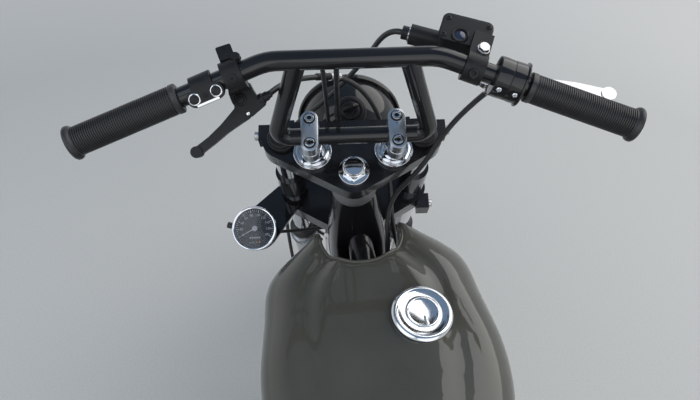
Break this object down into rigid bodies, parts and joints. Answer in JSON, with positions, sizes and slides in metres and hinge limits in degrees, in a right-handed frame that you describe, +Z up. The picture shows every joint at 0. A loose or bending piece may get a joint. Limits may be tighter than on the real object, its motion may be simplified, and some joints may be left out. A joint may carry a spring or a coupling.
{
  "type": "cafe racer motorcycle",
  "caption": "Cafe racer motorcycle leaning on its side stand: steering with handlebar and headlamp, spoked wheels, cradle frame, engine, sculpted tank and humped seat.",
  "frame": {"origin": "on the floor, at the centre of the parked machine's outline box", "axes": "+X the way the machine faces, +Y to its left, +Z up; it leans 7 degrees to the left on its side stand and its steering is turned 6.4 degrees to the right"},
  "size_m": [2.048, 0.6286, 1.1277],
  "materials": {
    "frame_paint": "gloss",
    "gloss_black": "gloss",
    "yoke_paint": "satin",
    "bright_chrome": "polished",
    "exhaust_chrome": "polished",
    "polished_alloy": "polished",
    "engine_alloy": "satin",
    "barrel_iron": "matte",
    "steel": "satin",
    "wheel_alloy": "polished",
    "tyre": "matte",
    "tank_paint": "gloss",
    "guard_alloy": "brushed",
    "seat_leather": "satin",
    "grip_rubber": "matte",
    "satin_black": "satin",
    "filter_cloth": "matte",
    "cable_black": "satin"
  },
  "bodies": {
    "frame": {"head_frame": "frame_paint", "cradle": "frame_paint", "rear_frame": "frame_paint", "swinging_arm": "frame_paint", "rear_axle": "bright_chrome", "rear_brake": "polished_alloy", "rear_shocks": "bright_chrome", "chain": "steel", "engine_cases": "engine_alloy", "drive_sprocket": "steel", "cylinder_barrel": "barrel_iron", "cylinder_head": "engine_alloy", "carburettor": "polished_alloy", "air_filter": "filter_cloth", "exhaust_pipe": "exhaust_chrome", "silencer": "exhaust_chrome", "fuel_tank": "tank_paint", "fuel_cap": "bright_chrome", "seat_unit": "tank_paint", "seat_cushion": "seat_leather", "rear_mudguard": "guard_alloy", "tail_lamp": "gloss_black", "battery_box": "gloss_black", "footrests": "grip_rubber", "foot_pedals": "frame_paint", "control_cables": "cable_black"},
    "steering": {"top_yoke": "yoke_paint", "bottom_yoke": "yoke_paint", "stem_nuts": "bright_chrome", "fork_tubes": "bright_chrome", "fork_sliders": "polished_alloy", "front_axle": "bright_chrome", "handlebar": "gloss_black", "bar_clamps": "bright_chrome", "grips": "grip_rubber", "clutch_perch": "satin_black", "clutch_lever": "satin_black", "switch_block": "satin_black", "brake_master": "satin_black", "brake_lever": "polished_alloy", "throttle_housing": "satin_black", "headlamp_bowl": "gloss_black", "headlamp_rim": "bright_chrome", "lamp_brackets": "gloss_black", "speedometer": "bright_chrome", "speedo_bracket": "gloss_black", "front_mudguard": "guard_alloy", "brake_caliper": "satin_black", "brake_hose": "cable_black", "speedometer_cable": "cable_black", "lamp_wiring": "cable_black"},
    "front_wheel_body": {"front_wheel": "wheel_alloy", "front_tyre": "tyre", "front_brake_disc": "steel"},
    "rear_wheel_body": {"rear_wheel": "wheel_alloy", "rear_tyre": "tyre", "rear_sprocket": "steel"},
    "side_stand_body": {"side_stand": "frame_paint"}
  },
  "joints": [
    {"name": "steering_turn", "type": "hinge", "parent": "frame", "child": "steering", "pos_m": [0.343, -0.01619, 0.91144], "axis": [-0.454, 0.1086, 0.8844], "range_deg": [-18.6, 31.4], "deforming": ["control_cables"]},
    {"name": "front_wheel_spin", "type": "hinge", "parent": "steering", "child": "front_wheel_body", "pos_m": [0.70052, -0.0939, 0.3243], "axis": [0.0993, 0.9925, -0.0709], "continuous": true},
    {"name": "rear_wheel_spin", "type": "hinge", "parent": "frame", "child": "rear_wheel_body", "pos_m": [-0.6992, -0.08845, 0.32296], "axis": [0, 0.9925, -0.1219], "continuous": true},
    {"name": "side_stand_fold", "type": "hinge", "parent": "frame", "child": "side_stand_body", "pos_m": [-0.0592, 0.0221, 0.17298], "axis": [0.131, 0.8621, 0.4894], "range_deg": [0, 108.7]}
  ]
}
